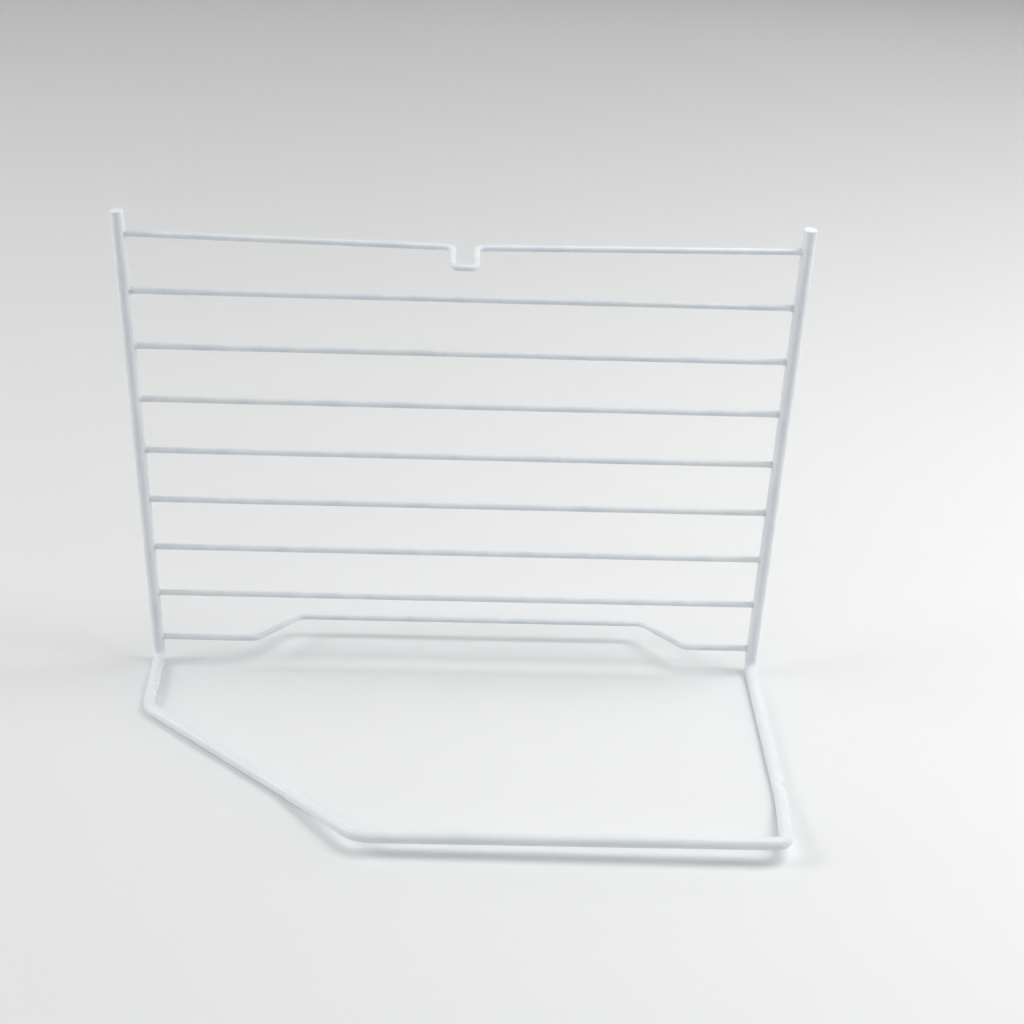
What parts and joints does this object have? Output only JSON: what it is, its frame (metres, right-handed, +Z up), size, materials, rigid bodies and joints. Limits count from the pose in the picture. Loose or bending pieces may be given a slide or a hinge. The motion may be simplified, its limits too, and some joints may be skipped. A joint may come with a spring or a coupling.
{
  "type": "wire grid rack",
  "caption": "Freestanding L-shaped rack in white coated steel rod: an upright grid of cross wires on a floor loop with one slanted corner and a turned-up front rod.",
  "frame": {"origin": "on the floor, under the middle of the rack's overall box", "axes": "+Z up, +X to the right along the cross wires, -Y forward from the grid towards the front rod"},
  "size_m": [0.3129, 0.1689, 0.246],
  "materials": {
    "coated_rod": "white powder coat on steel rod, satin to semi-gloss",
    "coated_wire": "white powder coat on steel wire, satin to semi-gloss",
    "coated_weld": "white powder coat run over resistance welds, slightly uneven"
  },
  "bodies": {
    "root": {"frame_rod": "coated_rod", "top_wire": "coated_wire", "cross_wire_2": "coated_wire", "cross_wire_3": "coated_wire", "cross_wire_4": "coated_wire", "cross_wire_5": "coated_wire", "cross_wire_6": "coated_wire", "cross_wire_7": "coated_wire", "cross_wire_8": "coated_wire", "bottom_wire": "coated_wire", "left_weld_1": "coated_weld", "left_weld_2": "coated_weld", "left_weld_3": "coated_weld", "left_weld_4": "coated_weld", "left_weld_5": "coated_weld", "left_weld_6": "coated_weld", "left_weld_7": "coated_weld", "left_weld_8": "coated_weld", "left_weld_9": "coated_weld", "right_weld_1": "coated_weld", "right_weld_2": "coated_weld", "right_weld_3": "coated_weld", "right_weld_4": "coated_weld", "right_weld_5": "coated_weld", "right_weld_6": "coated_weld", "right_weld_7": "coated_weld", "right_weld_8": "coated_weld", "right_weld_9": "coated_weld"}
  },
  "joints": []
}
